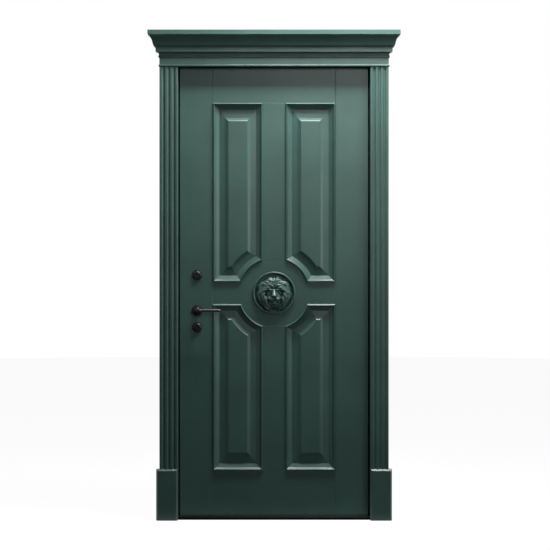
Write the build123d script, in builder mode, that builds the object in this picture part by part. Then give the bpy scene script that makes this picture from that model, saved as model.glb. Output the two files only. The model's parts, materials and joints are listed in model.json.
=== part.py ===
from build123d import *
import math
import os

os.makedirs("parts", exist_ok=True)

# A panelled interior door with its frame, closed. X runs to the right, Y away from the front, Z up.
# The origin lies on the floor midway between the jambs, in the plane of the leaf's front face.
# Every length is in millimetres.

# Leaf and its joinery
leaf_width = 914
leaf_height = 2134
leaf_thickness = 48
leaf_floor_gap = 14
stile_width = 166
top_rail_width = 176
bottom_rail_width = 216
mullion_width = 106
lock_rail_width = 103
boss_radius = 163
boss_height = 1070
joint_round = 1.2

# Raised panels, held by a tongue in a groove
tongue_length = 10
tongue_thickness = 12
groove_clearance = 0.3
panel_edge_gap = 1
panel_recess = 12
hollow_width = 28
hollow_rise = 3
quirk_rise = 1.5
bevel_width = 10
bevel_rise = 3.5
field_step_width = 5
field_end_margin = 12

# Planted mouldings round the panels
moulding_width = 32
moulding_proud = 8
moulding_flat = 6
moulding_nose = 5.5
moulding_waist = 15
moulding_waist_depth = 3
moulding_fit = 0.15

# Medallion
ring_radius = 102
ring_width = 7
ring_proud = 9
ring_round = 4
dish_depth = 10
dish_thickness = 3.5
dish_fit = 0.15

# Lion head: a carving of lumps and swept locks of hair
head_radius = 82
head_proud = 44
head_rings = 20
head_spokes = 80
# Each lump: place across and up, foot, half width, half height, rise, and its turn in degrees
head_lump_shares = (
    (0, 0, 0, 0.94, 0.94, 0.34, 0),
    (0, 0.30, 0.08, 0.60, 0.60, 0.62, 0),
    (0, -0.14, 0.08, 0.40, 0.54, 0.62, 0),
    (0, 0.03, 0.60, 0.12, 0.30, 0.34, 0),
    (0, -0.17, 0.68, 0.17, 0.10, 0.32, 0),
    (0, -0.59, 0.38, 0.18, 0.12, 0.36, 0),
    (0, -0.80, 0.16, 0.13, 0.18, 0.36, 0),
)
# The same for lumps in pairs, given for the right side
head_pair_shares = (
    (0.27, -0.10, 0.34, 0.20, 0.22, 0.34, 0),
    (0.21, 0.28, 0.50, 0.21, 0.09, 0.32, 12),
    (0.25, 0.13, 0.50, 0.08, 0.05, 0.18, 0),
    (0.16, -0.32, 0.48, 0.20, 0.14, 0.40, -8),
    (0.14, 0.52, 0.46, 0.12, 0.24, 0.36, -12),
    (0.38, 0.46, 0.40, 0.13, 0.22, 0.36, -40),
    (0.56, 0.58, 0.30, 0.14, 0.17, 0.36, -35),
    (0.20, -0.74, 0.14, 0.11, 0.20, 0.36, 16),
)
# Each ring of locks: distance from the middle, foot, half length, half width and rise
mane_ring_shares = (
    (0.80, 0, 0.22, 0.12, 0.42),
    (0.66, 0.12, 0.25, 0.12, 0.44),
    (0.50, 0.26, 0.24, 0.11, 0.42),
)
mane_lock_counts = (10, 8, 6)
mane_first_angle = 80
mane_droop = 36

# Frame
leaf_side_gap = 3
leaf_head_gap = 3
jamb_thickness = 40
stop_depth = 25
seal_recess = 6
stop_height = 7
jamb_back_margin = 2
seal_lip = 8
seal_clearance = 0.3
seal_edge_gap = 0.5
seal_round = 2
threshold_height = 10
threshold_lip_height = 16
threshold_lip_gap = 4
threshold_bevel = 4
threshold_fit = 0.2
fixing_radius = 5
fixing_cap_radius = 8
fixing_cap_depth = 6
outer_fixing_spacing = 1940
outer_fixing_height = 1090
inner_fixing_spacing = 630
inner_fixing_height = 1065

# Pilasters, plinth blocks and back architraves
pilaster_width = 87
pilaster_thickness = 20
pilaster_round = 4
flute_count = 3
flute_pitch = 24.4
flute_width = 16
flute_depth = 5.5
plinth_overhang = 15
plinth_thickness = 26
plinth_height = 242
plinth_bevel = 8
architrave_width = 70
architrave_thickness = 14
architrave_reveal = 16
architrave_round = 4

# Cornice
frieze_height = 51
frieze_bead_height = 10
frieze_bead_proud = 4
frieze_neck_height = 9
frieze_neck_proud = 5
crown_height = 115
crown_projection = 52
crown_cove_shares = ((0.06, 0.0), (0.10, 0.11), (0.32, 0.15))
crown_band_shares = ((0.32, 0.32), (0.40, 0.34))
crown_cyma_shares = ((0.66, 0.41), (0.50, 0.64), (0.93, 0.80))
crown_lip_share = 0.82

# Hinges
hinge_height = 120
hinge_plate_depth = 33
hinge_plate = 3
hinge_inset = 216
knuckle_radius = 7
knuckle_count = 5
knuckle_gap = 0.4
pin_radius = 4
pin_clearance = 0.05
pin_head_radius = 6
pin_head_height = 5
pin_head_round = 2
pin_stand_off = 0.5
mortise_clearance = 0.2
hinge_screw_rows = 3
hinge_screw_pitch = 40
hinge_screw_stagger = 5

# Screws
screw_head_radius = 4
screw_radius = 2
screw_length = 26
screw_clearance = 0.1

# Lock set
backset = 92
lever_height = 988
case_thickness = 16
case_depth = 111
case_height = 180
upper_case_height = 90
lever_rise = 38
cylinder_drop = 42
lock_gap = 10
case_clearance = 0.5
forend_width = 24
forend_thickness = 3
forend_margin = 30
forend_round = 5
bolt_clearance = 0.3
bolt_inset = 0.5
latch_height = 18
latch_thickness = 12
latch_length = 63
latch_reach = 11.5
latch_nose = 3
deadbolt_height = 34
deadbolt_thickness = 14
deadbolt_length = 54
deadbolt_throw = 20
deadbolt_rise = 12
strike_width = 34
strike_thickness = 3
strike_margin = 34
strike_round = 5
strike_hole_clearance = 1.5
strike_pocket_margin = 4

# Roses, cylinders and thumb turns
rose_radius = 25
rose_thickness = 8
rose_rim = 3
rose_collar_radius = 16
rose_collar_step = 1.5
cylinder_radius = 13
cylinder_clearance = 0.3
cylinder_proud = 1
plug_radius = 8
plug_clearance = 0.05
plug_recess = 0.6
keyway_width = 2.4
keyway_length = 11
keyway_depth = 20
turn_base_radius = 12
turn_base_thickness = 5
turn_gap = 0.5
turn_width = 30
turn_thickness = 8
turn_reach = 16
turn_round = 3

# Lever set
neck_radius = 9
neck_clearance = 0.05
lever_reach = 115
lever_stand_off = 52
grip_height = 14
grip_thickness = 11
grip_arch = 3
grip_round = 4.5
spindle_side = 8
spindle_clearance = 0.1
spindle_engagement = 24
spindle_bore_radius = 11
follower_radius = 12
follower_thickness = 14
follower_clearance = 0.3

# One overrun serves every cut that has to pass a face
overrun = 5

# Planes and places that several pieces share
leaf_edge = leaf_width / 2
leaf_top = leaf_floor_gap + leaf_height
leaf_middle = leaf_floor_gap + leaf_height / 2
stile_inner = leaf_edge - stile_width
upper_reach = leaf_top - top_rail_width - boss_height
lower_reach = boss_height - leaf_floor_gap - bottom_rail_width
joint_reach = math.sqrt(boss_radius**2 - (mullion_width / 2) ** 2)
panel_places = {
    "upper_left": (-1, 1),
    "upper_right": (1, 1),
    "lower_left": (-1, -1),
    "lower_right": (1, -1),
}
core_front = (leaf_thickness - tongue_thickness) / 2
rebate_x = leaf_edge + leaf_side_gap
stop_x = rebate_x - stop_height
jamb_x = rebate_x + jamb_thickness
jamb_back = leaf_thickness + jamb_back_margin
rebate_z = leaf_top + leaf_head_gap
stop_z = rebate_z - stop_height
seal_x = stop_x - seal_lip
seal_z = stop_z - seal_lip
casing_z = stop_z - stop_height
pilaster_outer = stop_x + pilaster_width
casing_front = stop_depth + pilaster_thickness
lock_x = backset - leaf_edge
mid_y = leaf_thickness / 2
main_plate_span = case_height + forend_margin
upper_plate_span = upper_case_height + forend_margin
case_mid_height = lever_height - lever_rise
cylinder_height = case_mid_height - cylinder_drop
upper_lock_height = case_mid_height + (main_plate_span + upper_plate_span) / 2 + forend_margin + lock_gap
deadbolt_height_z = cylinder_height + deadbolt_rise
pin_x = leaf_edge + leaf_side_gap / 2
pin_y = jamb_back + knuckle_radius + pin_stand_off
fixing_y = (jamb_back - seal_recess) / 2
hinge_heights = {
    "lower": leaf_floor_gap + hinge_inset,
    "middle": leaf_middle,
    "upper": leaf_top - hinge_inset,
}
hinge_mid_y = jamb_back - hinge_plate_depth / 2
knuckle_pitch = hinge_height / knuckle_count


def finish(piece, name):
    """Label a finished piece and write it under its own name."""
    piece.part.label = name
    export_step(piece.part, f"parts/{name}.step")


def front_plane(x, z):
    """A plane across the axis of a round piece on the front: its second direction points at the viewer."""
    return Plane(origin=(x, 0, z), x_dir=(1, 0, 0), z_dir=(0, 0, -1))


def back_plane(x, z):
    """The same for the back: its second direction points away from the viewer."""
    return Plane(origin=(x, leaf_thickness, z), x_dir=(1, 0, 0), z_dir=(0, 0, 1))


def across_axis(x, z):
    """The line through the leaf, front to back, that round pieces turn about."""
    return Axis((x, 0, z), (0, 1, 0))


def panel_face(side, level, inset, end_margin=0):
    """Draw a panel opening's outline, set in by a distance and by more at its far end, in the open sketch."""
    outer = side * (stile_inner - inset)
    inner_reach = mullion_width / 2 + inset
    near = lock_rail_width / 2 + inset
    far = (upper_reach if level > 0 else lower_reach) - inset - end_margin
    reach = boss_radius + inset
    across = math.sqrt(reach**2 - near**2)
    along = math.sqrt(reach**2 - inner_reach**2)
    middle = (math.atan2(near, across) + math.atan2(along, inner_reach)) / 2
    low = boss_height + level * near
    high = boss_height + level * far
    arc_start = (side * inner_reach, boss_height + level * along)
    arc_middle = (side * reach * math.cos(middle), boss_height + level * reach * math.sin(middle))
    arc_end = (side * across, low)
    with BuildLine() as outline:
        Polyline(arc_end, (outer, low), (outer, high), (side * inner_reach, high), arc_start)
        ThreePointArc(arc_start, arc_middle, arc_end)
    make_face(outline.edges())


def round_faces(piece, radius):
    """Ease the edges round the foremost and the rearmost face of a leaf member."""
    faces = piece.faces().sort_by(Axis.Y)
    fillet(faces[0].edges() + faces[-1].edges(), radius)


def cut_grooves():
    """Cut the grooves that hold the panels' tongues out of the open part."""
    for side, level in panel_places.values():
        with BuildSketch(Plane.XZ.offset(groove_clearance - core_front)) as groove:
            panel_face(side, level, -tongue_length - groove_clearance)
        extrude(groove.sketch, amount=-tongue_thickness - 2 * groove_clearance, mode=Mode.SUBTRACT)


def hinge_screw_seats(face_x, direction):
    """Planes at the screw heads of the hinge plates on one side of the joint."""
    seats = []
    for height in hinge_heights.values():
        for row in range(hinge_screw_rows):
            lift = (row - (hinge_screw_rows - 1) / 2) * hinge_screw_pitch
            shift = hinge_screw_stagger if row % 2 else -hinge_screw_stagger
            spot = (face_x, hinge_mid_y + shift, height + lift)
            seats.append(Plane(origin=spot, x_dir=(0, 1, 0), z_dir=(direction, 0, 0)))
    return seats


def plate_screw_seats(face_x, direction, mid_z, span):
    """Planes at the two screw heads of a lock plate."""
    spots = [(face_x, mid_y, mid_z - span / 2), (face_x, mid_y, mid_z + span / 2)]
    return [Plane(origin=spot, x_dir=(0, 1, 0), z_dir=(direction, 0, 0)) for spot in spots]


def cut_sinks(seats):
    """Cut countersunk clearance holes for screws through a plate."""
    with Locations(*seats):
        CounterSinkHole(
            radius=screw_radius + screw_clearance,
            counter_sink_radius=screw_head_radius + screw_clearance,
            depth=screw_length,
            counter_sink_angle=90,
        )


def cut_pilots(seats):
    """Cut the holes that the screws' shanks fill in the timber."""
    with Locations(*seats):
        Hole(radius=screw_radius + screw_clearance, depth=screw_length + screw_clearance)


def add_screws(seats):
    """Add countersunk screws, heads flush with their seats."""
    sink = screw_head_radius - screw_radius
    with Locations(*seats):
        with Locations((0, 0, -sink)):
            Cone(
                bottom_radius=screw_radius,
                top_radius=screw_head_radius,
                height=sink,
                align=(Align.CENTER, Align.CENTER, Align.MIN),
            )
            Cylinder(
                radius=screw_radius,
                height=screw_length - sink,
                align=(Align.CENTER, Align.CENTER, Align.MAX),
            )


jamb_hinge_seats = hinge_screw_seats(rebate_x, -1)
leaf_hinge_seats = hinge_screw_seats(leaf_edge, 1)
main_strike_seats = plate_screw_seats(-rebate_x, 1, case_mid_height, main_plate_span)
upper_strike_seats = plate_screw_seats(-rebate_x, 1, upper_lock_height, upper_plate_span)
main_forend_seats = plate_screw_seats(-leaf_edge, -1, case_mid_height, main_plate_span)
upper_forend_seats = plate_screw_seats(-leaf_edge, -1, upper_lock_height, upper_plate_span)


# Jambs: rebated posts with hinge recesses on the right and strike recesses on the left
def jamb_profile(side):
    """Draw the rebated section of a side jamb in the open sketch."""
    with BuildLine() as section:
        Polyline(
            (side * stop_x, -stop_depth),
            (side * jamb_x, -stop_depth),
            (side * jamb_x, jamb_back),
            (side * rebate_x, jamb_back),
            (side * rebate_x, -seal_recess),
            (side * stop_x, -seal_recess),
            close=True,
        )
    make_face(section.edges())


def cut_fixings(side):
    """Bore the frame fixings through a jamb, with sinkings for their caps."""
    pairs = ((outer_fixing_height, outer_fixing_spacing), (inner_fixing_height, inner_fixing_spacing))
    spots = []
    for height, spacing in pairs:
        spots += [(fixing_y, height - spacing / 2), (fixing_y, height + spacing / 2)]
    face = Plane(origin=(side * rebate_x, 0, 0), x_dir=(0, 1, 0), z_dir=(1, 0, 0))
    with BuildSketch(face) as bores:
        with Locations(*spots):
            Circle(fixing_radius)
    extrude(bores.sketch, amount=side * (jamb_thickness + overrun), mode=Mode.SUBTRACT)
    with BuildSketch(face) as sinkings:
        with Locations(*spots):
            Circle(fixing_cap_radius)
    extrude(sinkings.sketch, amount=side * fixing_cap_depth, mode=Mode.SUBTRACT)


def cut_hinge_recesses(face_x, depth):
    """Let the hinge plates into a timber edge."""
    face = Plane(origin=(face_x, 0, 0), x_dir=(0, 1, 0), z_dir=(1, 0, 0))
    width = hinge_plate_depth + mortise_clearance + overrun
    with BuildSketch(face) as recesses:
        for height in hinge_heights.values():
            with Locations((jamb_back + overrun - width / 2, height)):
                Rectangle(width, hinge_height + 2 * mortise_clearance)
    extrude(recesses.sketch, amount=depth, mode=Mode.SUBTRACT)


with BuildPart() as hinge_jamb:
    with BuildSketch(Plane.XY):
        jamb_profile(1)
    extrude(amount=rebate_z)
    cut_fixings(1)
    cut_hinge_recesses(rebate_x, hinge_plate)
    cut_pilots(jamb_hinge_seats)
finish(hinge_jamb, "hinge_jamb")


def cut_strike_recess(mid_z, span, bolts):
    """Let a strike plate into the jamb, with a pocket behind each bolt."""
    face = Plane(origin=(-rebate_x, 0, 0), x_dir=(0, 1, 0), z_dir=(1, 0, 0))
    with BuildSketch(face) as recess:
        with Locations((mid_y, mid_z)):
            Rectangle(
                strike_width + 2 * mortise_clearance,
                span + strike_margin + 2 * mortise_clearance,
            )
    extrude(recess.sketch, amount=-strike_thickness, mode=Mode.SUBTRACT)
    with BuildSketch(face) as pockets:
        for bolt_z, bolt_thickness, bolt_height in bolts:
            with Locations((mid_y, bolt_z)):
                Rectangle(
                    bolt_thickness + 2 * strike_hole_clearance,
                    bolt_height + 2 * strike_hole_clearance,
                )
    extrude(pockets.sketch, amount=-deadbolt_throw - strike_pocket_margin, mode=Mode.SUBTRACT)


latch_hole = (lever_height, latch_thickness, latch_height)
main_bolt_hole = (deadbolt_height_z, deadbolt_thickness, deadbolt_height)
upper_bolt_hole = (upper_lock_height, deadbolt_thickness, deadbolt_height)

with BuildPart() as strike_jamb:
    with BuildSketch(Plane.XY):
        jamb_profile(-1)
    extrude(amount=rebate_z)
    cut_fixings(-1)
    cut_strike_recess(case_mid_height, main_plate_span, (latch_hole, main_bolt_hole))
    cut_strike_recess(upper_lock_height, upper_plate_span, (upper_bolt_hole,))
    cut_pilots(main_strike_seats + upper_strike_seats)
finish(strike_jamb, "strike_jamb")

# Head jamb: lies on the side jambs, its stop hangs between theirs
with BuildPart() as head_jamb:
    with BuildSketch(Plane.XZ.offset(stop_depth)):
        with Locations((0, rebate_z)):
            Rectangle(2 * jamb_x, jamb_thickness, align=(Align.CENTER, Align.MIN))
    extrude(amount=-stop_depth - jamb_back)
    with BuildSketch(Plane.XZ.offset(stop_depth)):
        with Locations((0, rebate_z)):
            Rectangle(2 * stop_x, stop_height, align=(Align.CENTER, Align.MAX))
    extrude(amount=seal_recess - stop_depth)
finish(head_jamb, "head_jamb")

# Threshold: a flat bar with a raised lip in front of the leaf
with BuildPart() as threshold:
    with BuildSketch(Plane.YZ.offset(threshold_fit - stop_x)):
        with BuildLine():
            Polyline(
                (-stop_depth, 0),
                (-stop_depth, threshold_lip_height - threshold_bevel),
                (threshold_bevel - stop_depth, threshold_lip_height),
                (-threshold_lip_gap, threshold_lip_height),
                (-threshold_lip_gap, threshold_height),
                (jamb_back - threshold_bevel, threshold_height),
                (jamb_back, threshold_height - threshold_bevel),
                (jamb_back, 0),
                close=True,
            )
        make_face()
    extrude(amount=2 * (stop_x - threshold_fit))
    with BuildSketch(Plane.YZ.offset(threshold_fit - rebate_x)):
        with BuildLine():
            Polyline(
                (threshold_fit - seal_recess, 0),
                (threshold_fit - seal_recess, threshold_height),
                (jamb_back - threshold_bevel, threshold_height),
                (jamb_back, threshold_height - threshold_bevel),
                (jamb_back, 0),
                close=True,
            )
        make_face()
    extrude(amount=2 * (rebate_x - threshold_fit))
finish(threshold, "threshold")

# Perimeter seal: one black strip on the face of the stop, its lip reaching past the stop's edge
with BuildPart() as perimeter_seal:
    with BuildSketch(Plane.XZ.offset(seal_recess)):
        seal_top = rebate_z - seal_edge_gap
        with Locations((0, threshold_lip_height)):
            Rectangle(
                2 * (rebate_x - seal_edge_gap),
                seal_top - threshold_lip_height,
                align=(Align.CENTER, Align.MIN),
            )
            Rectangle(
                2 * seal_x,
                seal_z - threshold_lip_height,
                align=(Align.CENTER, Align.MIN),
                mode=Mode.SUBTRACT,
            )
    extrude(amount=seal_clearance - seal_recess)
    lip_edges = perimeter_seal.faces().sort_by(Axis.Y)[0].edges().filter_by(
        lambda edge: abs(edge.center().X) < seal_x + seal_edge_gap and edge.center().Z > threshold_lip_height
    )
    fillet(lip_edges.filter_by(lambda edge: edge.center().Z < seal_z + seal_edge_gap), seal_round)
finish(perimeter_seal, "perimeter_seal")


# Pilasters: flat boards with concave flutes, standing on bevelled plinth blocks
flute_radius = (flute_width**2 / 4 + flute_depth**2) / (2 * flute_depth)

for side, name in ((-1, "left"), (1, "right")):
    middle_x = side * (stop_x + pilaster_width / 2)
    with BuildPart() as pilaster:
        with BuildSketch(Plane.XY.offset(plinth_height)):
            with Locations((middle_x, -stop_depth - pilaster_thickness / 2)):
                Rectangle(pilaster_width, pilaster_thickness)
        extrude(amount=casing_z - plinth_height)
        fillet(pilaster.edges().filter_by(Axis.Z).group_by(Axis.Y)[0], pilaster_round)
        with BuildSketch(Plane.XY.offset(plinth_height)):
            with Locations((middle_x, flute_depth - flute_radius - casing_front)):
                with GridLocations(flute_pitch, 0, flute_count, 1):
                    Circle(flute_radius)
        extrude(amount=casing_z - plinth_height, mode=Mode.SUBTRACT)
    finish(pilaster, f"{name}_pilaster")

    plinth_width = pilaster_width + plinth_overhang
    with BuildPart() as plinth_block:
        with BuildSketch(Plane.XY):
            with Locations((side * (stop_x + plinth_width / 2), -stop_depth - plinth_thickness / 2)):
                Rectangle(plinth_width, plinth_thickness)
        extrude(amount=plinth_height)
        front_edges = plinth_block.faces().sort_by(Axis.Y)[0].edges()
        chamfer(front_edges.sort_by(Axis.Z)[1:], plinth_bevel)
    finish(plinth_block, f"{name}_plinth_block")

# Back architraves: plain boards on the far side of the wall, clear of the hinge knuckles
architrave_x = rebate_x + architrave_reveal
architrave_z = rebate_z + architrave_reveal
for side, name in ((-1, "left"), (1, "right")):
    with BuildPart() as side_architrave:
        with BuildSketch(Plane.XY):
            middle_x = side * (architrave_x + architrave_width / 2)
            with Locations((middle_x, jamb_back + architrave_thickness / 2)):
                Rectangle(architrave_width, architrave_thickness)
        extrude(amount=architrave_z)
        fillet(side_architrave.edges().filter_by(Axis.Z).group_by(Axis.Y)[-1], architrave_round)
    finish(side_architrave, f"back_{name}_architrave")

with BuildPart() as head_architrave:
    with BuildSketch(Plane.XZ.offset(-jamb_back)):
        with Locations((0, architrave_z)):
            Rectangle(
                2 * (architrave_x + architrave_width),
                architrave_width,
                align=(Align.CENTER, Align.MIN),
            )
    extrude(amount=-architrave_thickness)
    fillet(head_architrave.faces().sort_by(Axis.Y)[-1].edges(), architrave_round)
finish(head_architrave, "back_head_architrave")


# Cornice: a frieze board with two beads, and a crown moulding mitred round it
def return_path(height):
    """Draw the line that a moulding follows round the ends and front of the frieze."""
    Polyline(
        (-pilaster_outer, -stop_depth, height),
        (-pilaster_outer, -casing_front, height),
        (pilaster_outer, -casing_front, height),
        (pilaster_outer, -stop_depth, height),
    )


def return_plane(height):
    """The plane of a moulding's section at the left end: first direction outwards, second up."""
    return Plane(origin=(-pilaster_outer, -stop_depth, height), x_dir=(-1, 0, 0), z_dir=(0, 1, 0))


def bead_profile(proud, height):
    """Draw the section of a bead with a rounded nose in the open sketch."""
    with BuildLine() as section:
        Polyline((proud / 2, height), (0, height), (0, 0), (proud / 2, 0))
        ThreePointArc((proud / 2, 0), (proud, height / 2), (proud / 2, height))
    make_face(section.edges())


crown_z = casing_z + frieze_height

with BuildPart() as cornice_frieze:
    with BuildSketch(Plane.XY.offset(casing_z)):
        with Locations((0, -stop_depth - pilaster_thickness / 2)):
            Rectangle(2 * pilaster_outer, pilaster_thickness)
    extrude(amount=frieze_height + crown_height)
    with BuildLine():
        return_path(casing_z)
    with BuildSketch(return_plane(casing_z)):
        bead_profile(frieze_bead_proud, frieze_bead_height)
    sweep(transition=Transition.RIGHT)
    with BuildLine():
        return_path(crown_z - frieze_neck_height)
    with BuildSketch(return_plane(crown_z - frieze_neck_height)):
        bead_profile(frieze_neck_proud, frieze_neck_height)
    sweep(transition=Transition.RIGHT)
finish(cornice_frieze, "cornice_frieze")


def crown_point(share):
    """A point of the crown's section from its shares of the projection and the height."""
    return (share[0] * crown_projection, share[1] * crown_height)


with BuildPart() as cornice_crown:
    with BuildLine():
        return_path(crown_z)
    with BuildSketch(return_plane(crown_z)):
        with BuildLine():
            Line((0, 0), crown_point(crown_cove_shares[0]))
            ThreePointArc(*[crown_point(share) for share in crown_cove_shares])
            Polyline(crown_point(crown_cove_shares[-1]), *[crown_point(share) for share in crown_band_shares])
            Bezier(crown_point(crown_band_shares[-1]), *[crown_point(share) for share in crown_cyma_shares])
            Polyline(
                crown_point(crown_cyma_shares[-1]),
                (crown_projection, crown_lip_share * crown_height),
                (crown_projection, crown_height),
                (0, crown_height),
                (0, 0),
            )
        make_face()
    sweep(transition=Transition.RIGHT)
finish(cornice_crown, "cornice_crown")


# Strike plates in the jamb
def strike_plate(mid_z, span, bolts, seats):
    """A flat plate with a rounded outline, a hole for each bolt and two screw holes."""
    face = Plane(origin=(-rebate_x, 0, 0), x_dir=(0, 1, 0), z_dir=(1, 0, 0))
    with BuildPart() as plate:
        with BuildSketch(face):
            with Locations((mid_y, mid_z)):
                RectangleRounded(strike_width, span + strike_margin, strike_round)
            for bolt_z, bolt_thickness, bolt_height in bolts:
                with Locations((mid_y, bolt_z)):
                    Rectangle(
                        bolt_thickness + 2 * strike_hole_clearance,
                        bolt_height + 2 * strike_hole_clearance,
                        mode=Mode.SUBTRACT,
                    )
        extrude(amount=-strike_thickness)
        cut_sinks(seats)
    return plate


main_strike_plate = strike_plate(
    case_mid_height, main_plate_span, (latch_hole, main_bolt_hole), main_strike_seats
)
finish(main_strike_plate, "main_strike_plate")
upper_strike_plate = strike_plate(
    upper_lock_height, upper_plate_span, (upper_bolt_hole,), upper_strike_seats
)
finish(upper_strike_plate, "upper_strike_plate")


# Hinges: two plates with interleaved knuckles on a loose pin
def hinge_half(plate_x, inward, height, first, seats):
    """One plate of a hinge with every second knuckle, starting at the first given."""
    with BuildPart() as half:
        with BuildSketch(Plane.XY.offset(height - hinge_height / 2)):
            with Locations((plate_x + inward * hinge_plate / 2, hinge_mid_y)):
                Rectangle(hinge_plate, hinge_plate_depth)
        extrude(amount=hinge_height)
        for knuckle in range(first, knuckle_count, 2):
            bottom = height - hinge_height / 2 + knuckle * knuckle_pitch + knuckle_gap / 2
            with BuildSketch(Plane.XY.offset(bottom)):
                with Locations((pin_x, pin_y)):
                    Circle(knuckle_radius)
                with Locations((plate_x + inward * hinge_plate / 2, hinge_mid_y)):
                    Rectangle(hinge_plate, pin_y - hinge_mid_y, align=(Align.CENTER, Align.MIN))
            extrude(amount=knuckle_pitch - knuckle_gap)
        with Locations((pin_x, pin_y, height)):
            Cylinder(radius=pin_radius + pin_clearance, height=hinge_height, mode=Mode.SUBTRACT)
        cut_sinks([seat for seat in seats if abs(seat.origin.Z - height) < hinge_height / 2])
    return half


for name, height in hinge_heights.items():
    frame_half = hinge_half(rebate_x, 1, height, 0, jamb_hinge_seats)
    finish(frame_half, f"{name}_hinge_frame_leaf")
    leaf_half = hinge_half(leaf_edge, -1, height, 1, leaf_hinge_seats)
    finish(leaf_half, f"{name}_hinge_door_leaf")

with BuildPart() as hinge_pins:
    for height in hinge_heights.values():
        with Locations((pin_x, pin_y, height)):
            Cylinder(radius=pin_radius, height=hinge_height)
            for end in (-1, 1):
                with Locations((0, 0, end * (hinge_height + pin_head_height) / 2)):
                    Cylinder(radius=pin_head_radius, height=pin_head_height)
    caps = hinge_pins.edges().filter_by(GeomType.CIRCLE)
    rims = caps.filter_by(lambda edge: abs(edge.radius - pin_head_radius) < pin_clearance)
    tops = [
        edge
        for edge in rims
        if min(abs(edge.center().Z - height) for height in hinge_heights.values())
        > hinge_height / 2 + pin_head_height / 2
    ]
    fillet(tops, pin_head_round)
finish(hinge_pins, "hinge_pins")

with BuildPart() as frame_screws:
    add_screws(jamb_hinge_seats + main_strike_seats + upper_strike_seats)
finish(frame_screws, "frame_screws")

with BuildPart() as leaf_screws:
    add_screws(leaf_hinge_seats + main_forend_seats + upper_forend_seats)
finish(leaf_screws, "leaf_screws")


# Stiles: full-height members of the leaf
def stile_block(side):
    """The plain stile, before its grooves and recesses."""
    with BuildSketch(Plane.XZ) as face:
        with Locations((side * (leaf_edge - stile_width / 2), leaf_middle)):
            Rectangle(stile_width, leaf_height)
    extrude(face.sketch, amount=-leaf_thickness)


def cut_lock_mortise(mid_z, height, span, bores):
    """Cut the mortise for a lock case, the recess for its forend and the bores through the faces."""
    edge = Plane(origin=(-leaf_edge, 0, 0), x_dir=(0, 1, 0), z_dir=(1, 0, 0))
    with BuildSketch(edge) as mortise:
        with Locations((mid_y, mid_z)):
            Rectangle(case_thickness + 2 * case_clearance, height + 2 * case_clearance)
    extrude(mortise.sketch, amount=forend_thickness + case_depth + case_clearance, mode=Mode.SUBTRACT)
    with BuildSketch(edge) as recess:
        with Locations((mid_y, mid_z)):
            RectangleRounded(
                forend_width + 2 * mortise_clearance,
                span + forend_margin + 2 * mortise_clearance,
                forend_round + mortise_clearance,
            )
    extrude(recess.sketch, amount=forend_thickness, mode=Mode.SUBTRACT)
    for bore_z, bore_radius in bores:
        with BuildSketch(Plane.XZ.offset(overrun)) as bore:
            with Locations((lock_x, bore_z)):
                Circle(bore_radius)
        extrude(bore.sketch, amount=-leaf_thickness - 2 * overrun, mode=Mode.SUBTRACT)


cylinder_bore = cylinder_radius + cylinder_clearance

with BuildPart() as lock_stile:
    stile_block(-1)
    round_faces(lock_stile, joint_round)
    cut_grooves()
    main_bores = ((lever_height, spindle_bore_radius), (cylinder_height, cylinder_bore))
    cut_lock_mortise(case_mid_height, case_height, main_plate_span, main_bores)
    upper_bores = ((upper_lock_height, cylinder_bore),)
    cut_lock_mortise(upper_lock_height, upper_case_height, upper_plate_span, upper_bores)
    cut_pilots(main_forend_seats + upper_forend_seats)
finish(lock_stile, "lock_stile")

with BuildPart() as hinge_stile:
    stile_block(1)
    round_faces(hinge_stile, joint_round)
    cut_grooves()
    cut_hinge_recesses(leaf_edge, -hinge_plate)
    cut_pilots(leaf_hinge_seats)
finish(hinge_stile, "hinge_stile")


# Rails and mullions between the stiles
def rail(bottom_z, width):
    """A straight rail between the stiles, grooved for the panels."""
    with BuildPart() as piece:
        with BuildSketch(Plane.XZ):
            with Locations((0, bottom_z)):
                Rectangle(2 * stile_inner, width, align=(Align.CENTER, Align.MIN))
        extrude(amount=-leaf_thickness)
        round_faces(piece, joint_round)
        cut_grooves()
    return piece


def mullion(bottom_z, top_z):
    """An upright between two panels, grooved on both edges."""
    with BuildPart() as piece:
        with BuildSketch(Plane.XZ):
            with Locations((0, bottom_z)):
                Rectangle(mullion_width, top_z - bottom_z, align=(Align.CENTER, Align.MIN))
        extrude(amount=-leaf_thickness)
        round_faces(piece, joint_round)
        cut_grooves()
    return piece


finish(rail(leaf_top - top_rail_width, top_rail_width), "top_rail")
finish(rail(leaf_floor_gap, bottom_rail_width), "bottom_rail")
finish(mullion(boss_height + joint_reach, leaf_top - top_rail_width), "upper_mullion")
finish(mullion(leaf_floor_gap + bottom_rail_width, boss_height - joint_reach), "lower_mullion")

dish_radius = ring_radius - ring_width + dish_fit

# Lock rail: a straight band that swells into a round boss, with a recess for the medallion
with BuildPart() as lock_rail:
    with BuildSketch(Plane.XZ):
        with Locations((0, boss_height)):
            Circle(boss_radius)
            Rectangle(2 * boss_radius, 2 * joint_reach, mode=Mode.INTERSECT)
            Rectangle(2 * stile_inner, lock_rail_width)
    extrude(amount=-leaf_thickness)
    round_faces(lock_rail, joint_round)
    cut_grooves()
    with BuildSketch(Plane.XZ):
        with Locations((0, boss_height)):
            Circle(dish_radius)
    extrude(amount=-dish_depth, mode=Mode.SUBTRACT)
finish(lock_rail, "lock_rail")


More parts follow.
